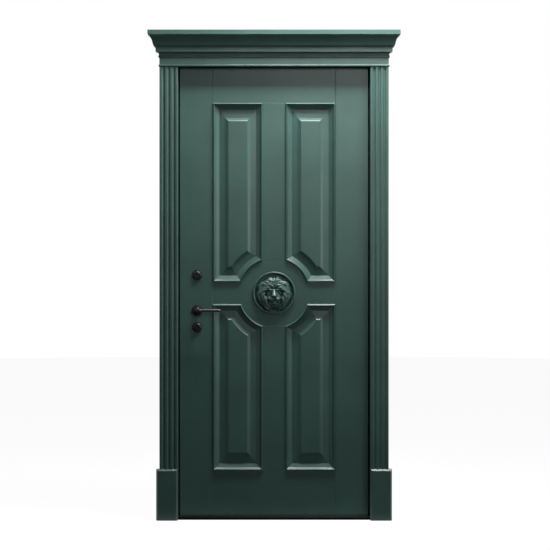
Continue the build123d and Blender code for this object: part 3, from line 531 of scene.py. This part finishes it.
# Each lump: place across, up and out, then its half sizes the same way, and its turn in degrees
MIDDLE_LUMPS = (
    (0, 0, 0, 0.96, 0.96, 0.15, 0),
    (0, 0.27, 0.04, 0.68, 0.62, 0.27, 0),
    (0, -0.12, 0.10, 0.46, 0.52, 0.25, 0),
    (0, 0.17, 0.17, 0.36, 0.20, 0.15, 0),
    (0, -0.165, 0.48, 0.145, 0.085, 0.11, 0),
    (0, -0.50, 0.29, 0.19, 0.05, 0.09, 0),
    (0, -0.60, 0.25, 0.17, 0.10, 0.13, 0),
)
SIDE_LUMPS = (
    (0.36, -0.02, 0.19, 0.13, 0.14, 0.13, 0),
    (0.21, 0.20, 0.31, 0.19, 0.05, 0.09, 10),
    (0.26, 0.10, 0.285, 0.08, 0.05, 0.06, 0),
    (0.26, 0.045, 0.28, 0.10, 0.022, 0.05, -8),
    (0.10, -0.22, 0.44, 0.07, 0.05, 0.065, 0),
    (0.15, -0.34, 0.31, 0.19, 0.125, 0.155, -12),
    (0.31, -0.27, 0.21, 0.15, 0.16, 0.13, 0),
    (0.25, -0.48, 0.18, 0.14, 0.15, 0.12, 0),
)
# Each row of locks: reach and height at root and tip, swing, half width, and the roots' angles
MANE_ROWS = (
    (0.66, 1.03, 0.21, 0.07, 50, 0.098, (3, 18, 34, 51, 69, 88, 107, 126)),
    (0.60, 0.97, 0.26, 0.13, 20, 0.095, (-3, 9, 23, 38)),
    (0.50, 0.86, 0.29, 0.16, 54, 0.082, (0, 21, 43, 66, 90, 113)),
    (0.40, 0.74, 0.30, 0.24, 50, 0.076, (3, 26, 51, 78, 104)),
)
MANE_MIDDLE = -0.03
FACE_BREADTH = 0.17
MANE_END = 176
LOCK_STEPS = 14
LOCK_SIDES = 10
LOCK_FLICK = 0.025
LOCK_ARCH = 0.06
# A strand's swell: where its sine starts and how far it runs, its power and its least share
SWELL_START = 0.16
SWELL_RUN = 0.83
SWELL_POWER = 0.55
SWELL_LEAST = 0.05
# The two strands of a lock: side and share of the swing, and their shift in half widths
STRANDS = ((-1, 0.86), (1, 1))
STRAND_SHIFT = 0.55
# Tufts: half widths, and the step across from one to the next
PARTING_WIDTH = 0.09
PARTING_STEP = 0.09
CHIN_WIDTH = 0.065
FORELOCK_WIDTH = 0.075
TUFT_STEP = 0.10
# Nose: height and stand-out at the root, their change to the tip, and its half widths
NOSE_ROOT = Vector((0, 0.22, 0.27))
NOSE_RUN = Vector((0, -0.36, 0.26))
NOSE_WIDTHS = (0.07, 0.135)
NOSE_THICKNESS = 0.09
NOSE_STEPS = 8
NOSE_SIDES = 16


def add_lump(shape, across, up, out, wide, high, deep, turn):
    """Add an egg-shaped lump to the carving."""
    place = Matrix.Translation((across, up, out)) @ Matrix.Rotation(math.radians(turn), 4, "Z")
    matrix = HEAD @ place @ Matrix.Diagonal((wide, high, deep, 1))
    bmesh.ops.create_icosphere(shape, subdivisions=4, radius=1, matrix=matrix)


def add_strand(shape, path, width):
    """Add one strand along a path, a function of a share; it swells and runs out to a point."""
    piece = bmesh.new()
    stations = []
    for count in range(LOCK_STEPS + 1):
        along = count / LOCK_STEPS
        ahead = path(along + 0.01) - path(along - 0.01)
        side = Vector((-ahead.y, ahead.x, 0)).normalized()
        up = ahead.cross(side).normalized()
        wave = math.sin(math.pi * (SWELL_START + SWELL_RUN * along))
        swell = width * max(SWELL_LEAST, wave**SWELL_POWER)
        stations.append(HEAD @ station(path(along), side, up, swell, swell))
    sweep_rings(piece, stations, LOCK_SIDES)
    mesh = bpy.data.meshes.new("strand")
    piece.to_mesh(mesh)
    piece.free()
    shape.from_mesh(mesh)
    bpy.data.meshes.remove(mesh)


def lock_path(side, start, swing, root, tip, foot, end, shift, wave):
    """A path that leaves the parting, sweeps round the face and flicks out at its tip."""

    def path(along):
        angle = math.radians(start + swing * along)
        breadth = math.sin(math.radians(min(start, 90))) ** 2
        near = root + FACE_BREADTH * (1 - root) / 0.6 * breadth
        reach = near + (tip - near) * (0.45 * along + 0.55 * along**2) + shift * (1 - 0.7 * along)
        reach += LOCK_FLICK * math.sin(math.tau * along + wave)
        arch = LOCK_ARCH * math.sin(math.pi * min(max(along, 0), 1))
        across, up = side * reach * math.sin(angle), MANE_MIDDLE + reach * math.cos(angle)
        return Vector((across, up, foot + (end - foot) * along + arch))

    return path


def add_mane(shape):
    """Lay the rows of locks round both sides of the face, each lock of two strands."""
    for row, (root, tip, foot, end, swing, width, starts) in enumerate(MANE_ROWS):
        for side in (-1, 1):
            for place, start in enumerate(starts):
                wave = 2.4 * place + 1.7 * row + (0.8 if side > 0 else 0)
                turn = min(swing * (1 + 0.12 * math.sin(wave)), MANE_END - start)
                for strand, share in STRANDS:
                    path = lock_path(
                        side,
                        start + 2 * math.cos(wave),
                        turn * share,
                        root,
                        tip,
                        foot,
                        end,
                        strand * width * STRAND_SHIFT,
                        wave,
                    )
                    add_strand(shape, path, width)


def parting_path(lean):
    """A path from the brow up the parting."""
    return lambda along: Vector((lean * (1 + 0.8 * along), 0.56 + 0.36 * along, 0.30 - 0.15 * along))


def chin_path(lean):
    """A path that hangs from the chin."""
    return lambda along: Vector((lean * (0.8 + along), -0.60 - 0.33 * along, 0.26 - 0.16 * along))


def forelock_path(lean):
    """A path that falls over the brow."""

    def path(along):
        up = 0.62 - 0.28 * along + 0.2 * lean * lean
        return Vector((lean * (0.5 + 0.7 * along), up, 0.25 + 0.05 * math.sin(math.pi * along)))

    return path


def add_tufts(shape):
    """Fill the parting, hang tufts from the chin and let the forelock fall over the brow."""
    for place in range(-1, 2):
        add_strand(shape, parting_path(PARTING_STEP * place), PARTING_WIDTH)
    for place in range(-3, 4):
        add_strand(shape, chin_path(TUFT_STEP * place), CHIN_WIDTH)
    for place in range(-3, 4):
        add_strand(shape, forelock_path(TUFT_STEP * place), FORELOCK_WIDTH)


def add_nose(shape):
    """Lay the bridge of the nose, widening down to the tip."""
    across, out = Vector((1, 0, 0)), Vector((0, 0, 1))
    stations = []
    for count in range(NOSE_STEPS + 1):
        along = count / NOSE_STEPS
        wide = blend(*NOSE_WIDTHS, along)
        place = station(NOSE_ROOT + NOSE_RUN * along, across, out, wide, NOSE_THICKNESS)
        stations.append(HEAD @ place)
    sweep_rings(shape, stations, NOSE_SIDES)


def fuse_carving(scene, shape, grain):
    """Fuse the lumps and locks into one skin of even grain, and ease it."""
    mesh = bpy.data.meshes.new("carving_block")
    shape.to_mesh(mesh)
    shape.free()
    block = bpy.data.objects.new("carving_block", mesh)
    scene.collection.objects.link(block)
    skin = block.modifiers.new("skin", "REMESH")
    skin.mode = "VOXEL"
    skin.voxel_size = grain
    ease = block.modifiers.new("ease", "SMOOTH")
    ease.iterations = 3
    ease.factor = 0.5
    evaluated = block.evaluated_get(bpy.context.evaluated_depsgraph_get())
    skinned = bpy.data.meshes.new_from_object(evaluated)
    carved = bmesh.new()
    carved.from_mesh(skinned)
    bpy.data.objects.remove(block)
    bpy.data.meshes.remove(mesh)
    bpy.data.meshes.remove(skinned)
    return carved


class DOOR_OT_carve_lion(bpy.types.Operator):
    """Carve the lion head of the medallion"""

    bl_idname = "door.carve_lion"
    bl_label = "Carve Lion Head"

    def execute(self, context):
        scene = context.scene
        shape = bmesh.new()
        for lump in MIDDLE_LUMPS:
            add_lump(shape, *lump)
        for side in (-1, 1):
            for across, up, out, wide, high, deep, turn in SIDE_LUMPS:
                add_lump(shape, side * across, up, out, wide, high, deep, side * turn)
        add_nose(shape)
        add_mane(shape)
        add_tufts(shape)
        carved = fuse_carving(scene, shape, scene.door_lion.grain)
        bmesh.ops.bisect_plane(
            carved,
            geom=carved.verts[:] + carved.edges[:] + carved.faces[:],
            dist=SAME_PLACE,
            plane_co=(0, HEAD_BASE, 0),
            plane_no=(0, 1, 0),
            clear_outer=True,
        )
        rim = [edge for edge in carved.edges if edge.is_boundary]
        bmesh.ops.holes_fill(carved, edges=rim, sides=0)
        nodes = ["lion_head"]
        finish_piece(scene, carved, "lion_carving", "leaf", "painted_wood", nodes, sharp=60)
        return {"FINISHED"}


# Ring: steps of the turning, and the profile's corners that are rounded into a bead
RING_STEPS = 128
BEAD_CORNERS = (4, 5)
BEAD_SHARE = 0.42
BEAD_SEGMENTS = 6


class DOOR_OT_turn_ring(bpy.types.Operator):
    """Turn the medallion's bead and dish"""

    bl_idname = "door.turn_ring"
    bl_label = "Turn Medallion Ring"

    def execute(self, context):
        lion = context.scene.door_lion
        inner = RING_RADIUS - lion.rim_width
        seat = inner + lion.wall
        profile = (
            (0, ring_high.y),
            (seat, ring_high.y),
            (seat, LEAF_FRONT),
            (RING_RADIUS, LEAF_FRONT),
            (RING_RADIUS, ring_low.y),
            (inner, ring_low.y),
            (inner, HEAD_BASE),
            (0, HEAD_BASE),
        )
        shape = bmesh.new()
        rounds = [(corner, lion.rim_width * BEAD_SHARE, BEAD_SEGMENTS) for corner in BEAD_CORNERS]
        turn_profile(shape, RING_CENTRE, profile, RING_STEPS, rounds)
        nodes = ["medallion_ring"]
        finish_piece(context.scene, shape, "medallion_bead", "leaf", "painted_wood", nodes)
        return {"FINISHED"}


# Lever section: half widths and half heights along its path, and how it ends
NECK_ROOT = 0.009
NECK_END = 0.0078
NECK_SINK = 0.001
GRIP_ROOT = (0.0055, 0.0070)
GRIP_END = (0.0048, 0.0062)
TIP_LENGTH = 0.006
TIP_ANGLES = (30, 55, 75, 86)
BEND_STEPS = 8
GRIP_STEPS = 10
LEVER_SIDES = 8
FACET_ANGLE = 32
FACET_ROUND = 0.0008


def lever_stations(bend):
    """The matrices that a lever's section goes through: neck, bend, grip and rounded tip."""
    axis = (lever_rose_low + lever_rose_high) / 2
    grip_y = lever_low.y + GRIP_ROOT[0]
    up = Vector((0, 0, 1))
    stations = []

    def lay(x, y, side, wide, thick):
        stations.append(station(Vector((x, y, axis.z)), side, up, wide, thick))

    for share in (0, 0.5, 1):
        y = LEAF_FRONT - NECK_SINK + (grip_y + bend - LEAF_FRONT) * share
        radius = blend(NECK_ROOT, NECK_END, share)
        lay(axis.x, y, Vector((1, 0, 0)), radius, radius)
    for count in range(1, BEND_STEPS + 1):
        share = count / BEND_STEPS
        sine, cosine = math.sin(math.pi / 2 * share), math.cos(math.pi / 2 * share)
        wide, thick = blend(NECK_END, GRIP_ROOT[0], share), blend(NECK_END, GRIP_ROOT[1], share)
        x, y = axis.x + bend * (1 - cosine), grip_y + bend * (1 - sine)
        lay(x, y, Vector((cosine, sine, 0)), wide, thick)
    ahead = Vector((0, 1, 0))
    start, end = axis.x + bend, lever_high.x - TIP_LENGTH
    for count in range(1, GRIP_STEPS + 1):
        share = count / GRIP_STEPS
        wide, thick = (blend(first, last, share) for first, last in zip(GRIP_ROOT, GRIP_END))
        lay(blend(start, end, share), grip_y, ahead, wide, thick)
    for angle in TIP_ANGLES:
        sine, cosine = math.sin(math.radians(angle)), math.cos(math.radians(angle))
        lay(end + TIP_LENGTH * sine, grip_y, ahead, GRIP_END[0] * cosine, GRIP_END[1] * cosine)
    return stations


class DOOR_OT_bend_levers(bpy.types.Operator):
    """Bend the lever handles of both sides"""

    bl_idname = "door.bend_levers"
    bl_label = "Bend Levers"

    def execute(self, context):
        scene = context.scene
        turn = Matrix.Rotation(math.pi / LEVER_SIDES, 4, "Z")
        stations = [place @ turn for place in lever_stations(scene.door_fittings.lever_bend)]
        flip = Matrix.Translation((0, LEAF_FRONT + LEAF_BACK, 0)) @ Matrix.Diagonal((1, -1, 1, 1))
        for node, place in (("outer_lever", Matrix()), ("inner_lever", flip)):
            shape = bmesh.new()
            sweep_rings(shape, stations, LEVER_SIDES)
            limit = math.radians(FACET_ANGLE)
            bmesh.ops.bevel(
                shape,
                geom=[edge for edge in shape.edges if edge.calc_face_angle(0) > limit],
                offset=FACET_ROUND,
                offset_type="OFFSET",
                affect="EDGES",
                segments=3,
                profile=0.5,
                material=-1,
                clamp_overlap=True,
            )
            bmesh.ops.transform(shape, matrix=place, verts=shape.verts)
            bmesh.ops.recalc_face_normals(shape, faces=shape.faces)
            finish_piece(scene, shape, node + "_grip", "lever_set", "black_hardware", [node])
        return {"FINISHED"}


class DOOR_OT_paint_frame(bpy.types.Operator):
    """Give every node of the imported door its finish"""

    bl_idname = "door.paint_frame"
    bl_label = "Paint Door and Frame"

    def execute(self, context):
        slots = {part["node"]: part["material_slot"] for part in frame["record"]["subparts"]}
        for name, node in frame["nodes"].items():
            if name in JOINTED:
                material = jointed_paint(context.scene, *JOINTED[name])
            else:
                material = slot_material(context.scene, slots[name])
            if node.material_slots:
                for holder in node.material_slots:
                    holder.material = material
            else:
                node.data.materials.append(material)
        return {"FINISHED"}


# Studio: its radius, its whites for the camera, and where it dims for reflections in front
STUDIO_RADIUS = 14
STUDIO_SEGMENTS = 96
STUDIO_GREY = (0.06, 0.06, 0.06, 1)
FLOOR_WHITE = 0.95
FLOOR_APRON = 0.11
WALL_WHITE = 1
WALL_DIM = 0.06
# Lamps: place, the height on the door that each faces, width and height, and spread in degrees
KEY_AIM = 1.0
KEY_SIZE = (1.4, 0.30)
FILL_PLACE = (0.9, -5.0, 3.0)
FILL_AIM = 2.2
FILL_SIZE = (1.3, 1.3)
FILL_SPREAD = 60
SIDE_PLACE = (2.2, -2.6, 1.5)
SIDE_AIM = 1.2
SIDE_SIZE = (1.0, 1.0)
BACK_KEY_PLACE = (-0.42, 0.62, 3.0)
BACK_FILL_PLACE = (-0.9, 5.0, 3.0)
BACK_SHARE = 0.5


def studio_material(name, near, far, start, end):
    """White for the camera, dimmer towards the front for reflections, and plain for all other light."""
    material, tree, shader = start_material(name)
    tree.nodes.remove(shader)
    path = add_node(tree, "ShaderNodeLightPath")
    seen = add_node(tree, "ShaderNodeMath", operation="MAXIMUM")
    tree.links.new(path.outputs["Is Camera Ray"], seen.inputs[0])
    tree.links.new(path.outputs["Is Glossy Ray"], seen.inputs[1])
    either = add_node(tree, "ShaderNodeMath", operation="MAXIMUM")
    tree.links.new(seen.outputs["Value"], either.inputs[0])
    tree.links.new(path.outputs["Is Transmission Ray"], either.inputs[1])
    pale = add_node(tree, "ShaderNodeBsdfDiffuse", {"Color": STUDIO_GREY})
    places = add_node(tree, "ShaderNodeTexCoord")
    split = add_node(tree, "ShaderNodeSeparateXYZ")
    tree.links.new(places.outputs["Object"], split.inputs["Vector"])
    fade = add_node(
        tree,
        "ShaderNodeMapRange",
        {"From Min": start, "From Max": end, "To Min": near, "To Max": far},
        interpolation_type="SMOOTHSTEP",
    )
    shift = add_node(tree, "ShaderNodeMath", {1: 2 * STUDIO_RADIUS}, operation="MULTIPLY_ADD")
    tree.links.new(path.outputs["Is Camera Ray"], shift.inputs[0])
    tree.links.new(split.outputs["Y"], shift.inputs[2])
    tree.links.new(shift.outputs["Value"], fade.inputs["Value"])
    glow = add_node(tree, "ShaderNodeEmission", {"Color": (1, 1, 1, 1)})
    tree.links.new(fade.outputs["Result"], glow.inputs["Strength"])
    white = add_node(tree, "ShaderNodeAddShader")
    tree.links.new(pale.outputs["BSDF"], white.inputs[0])
    tree.links.new(glow.outputs["Emission"], white.inputs[1])
    mix = add_node(tree, "ShaderNodeMixShader")
    tree.links.new(either.outputs["Value"], mix.inputs["Fac"])
    tree.links.new(pale.outputs["BSDF"], mix.inputs[1])
    tree.links.new(white.outputs["Shader"], mix.inputs[2])
    tree.links.new(mix.outputs["Shader"], tree.nodes["Material Output"].inputs["Surface"])
    return material


def add_sheet(scene, name, shape, material):
    """A floor or wall of the studio."""
    mesh = bpy.data.meshes.new(name)
    shape.to_mesh(mesh)
    shape.free()
    sheet = bpy.data.objects.new(name, mesh)
    scene.collection.objects.link(sheet)
    sheet.data.materials.append(material)


def add_lamp(scene, name, place, target, size, power, cone=180):
    """A soft rectangular lamp that faces a target and spreads over an angle in degrees."""
    lamp = bpy.data.lights.new(name, "AREA")
    lamp.shape = "RECTANGLE"
    lamp.size, lamp.size_y = size
    lamp.energy = power
    lamp.spread = math.radians(cone)
    holder = bpy.data.objects.new(name, lamp)
    holder.location = place
    facing = Vector(target) - Vector(place)
    holder.rotation_euler = facing.to_track_quat("-Z", "Y").to_euler()
    scene.collection.objects.link(holder)


def light_door(scene, stage):
    """Hang the lamps before and behind the door, and the even light all round."""
    key, fill = stage.key_power, stage.fill_power
    key_target = (stage.key_place[0], 0, KEY_AIM)
    back_target = (BACK_KEY_PLACE[0], 0, KEY_AIM)
    fill_target = (0, 0, FILL_AIM)
    add_lamp(scene, "key_lamp", stage.key_place, key_target, KEY_SIZE, key)
    add_lamp(scene, "fill_lamp", FILL_PLACE, fill_target, FILL_SIZE, fill, FILL_SPREAD)
    add_lamp(scene, "side_lamp", SIDE_PLACE, (0, 0, SIDE_AIM), SIDE_SIZE, stage.side_power)
    add_lamp(scene, "back_key_lamp", BACK_KEY_PLACE, back_target, KEY_SIZE, key * BACK_SHARE)
    add_lamp(scene, "back_fill_lamp", BACK_FILL_PLACE, fill_target, FILL_SIZE, fill, FILL_SPREAD)
    world = bpy.data.worlds.new("studio_air")
    world.use_nodes = True
    sky = world.node_tree.nodes["Background"]
    sky.inputs["Color"].default_value = (1, 1, 1, 1)
    sky.inputs["Strength"].default_value = stage.world_strength
    scene.world = world


class DOOR_OT_set_stage(bpy.types.Operator):
    """Set up the floor, backdrop, lamps and camera"""

    bl_idname = "door.set_stage"
    bl_label = "Set Stage"

    def execute(self, context):
        scene = context.scene
        stage = scene.door_stage
        scene.view_settings.view_transform = "Standard"
        ground = bmesh.new()
        bmesh.ops.create_grid(ground, x_segments=1, y_segments=1, size=STUDIO_RADIUS)
        apron = (-1.2 * FLOOR_APRON, -FLOOR_APRON)
        floor_white = studio_material("studio_floor_white", 0, FLOOR_WHITE, *apron)
        add_sheet(scene, "studio_floor", ground, floor_white)
        wall = bmesh.new()
        bmesh.ops.create_cone(
            wall,
            segments=STUDIO_SEGMENTS,
            radius1=STUDIO_RADIUS,
            radius2=STUDIO_RADIUS,
            depth=2 * STUDIO_RADIUS,
        )
        fade = (-0.9 * STUDIO_RADIUS, -0.5 * STUDIO_RADIUS)
        wall_white = studio_material("studio_backdrop_white", WALL_DIM, WALL_WHITE, *fade)
        add_sheet(scene, "studio_backdrop", wall, wall_white)
        light_door(scene, stage)
        lens = bpy.data.cameras.new("front_camera")
        lens.lens = stage.lens
        camera = bpy.data.objects.new("front_camera", lens)
        camera.location = stage.camera_place
        camera.rotation_euler = (math.pi / 2, 0, 0)
        scene.collection.objects.link(camera)
        scene.camera = camera
        return {"FINISHED"}


class DOOR_PT_finish(bpy.types.Panel):
    """Lists the door's settings and steps"""

    bl_idname = "DOOR_PT_finish"
    bl_label = "Door Finish"
    bl_space_type = "VIEW_3D"
    bl_region_type = "UI"
    bl_category = "Door"

    def draw(self, context):
        scene = context.scene
        for group in (scene.door_paint, scene.door_fittings, scene.door_lion, scene.door_stage):
            box = self.layout.box()
            for name in group.bl_rna.properties.keys():
                if name not in ("rna_type", "name"):
                    box.prop(group, name)
        for operator in STEPS:
            self.layout.operator(operator.bl_idname)


GROUPS = {
    "door_paint": PaintSettings,
    "door_fittings": FittingSettings,
    "door_lion": LionSettings,
    "door_stage": StageSettings,
}
STEPS = (
    DOOR_OT_paint_frame,
    DOOR_OT_carve_lion,
    DOOR_OT_turn_ring,
    DOOR_OT_bend_levers,
    DOOR_OT_set_stage,
)


def register():
    for group in GROUPS.values():
        bpy.utils.register_class(group)
    for name, group in GROUPS.items():
        setattr(bpy.types.Scene, name, bpy.props.PointerProperty(type=group))
    for step in STEPS:
        bpy.utils.register_class(step)
    bpy.utils.register_class(DOOR_PT_finish)


def unregister():
    bpy.utils.unregister_class(DOOR_PT_finish)
    for step in reversed(STEPS):
        bpy.utils.unregister_class(step)
    for name in GROUPS:
        delattr(bpy.types.Scene, name)
    for group in reversed(GROUPS.values()):
        bpy.utils.unregister_class(group)


def main():
    register()
    bpy.ops.door.paint_frame()
    bpy.ops.door.carve_lion()
    bpy.ops.door.turn_ring()
    bpy.ops.door.bend_levers()
    bpy.ops.door.set_stage()


if __name__ == "__main__":
    main()
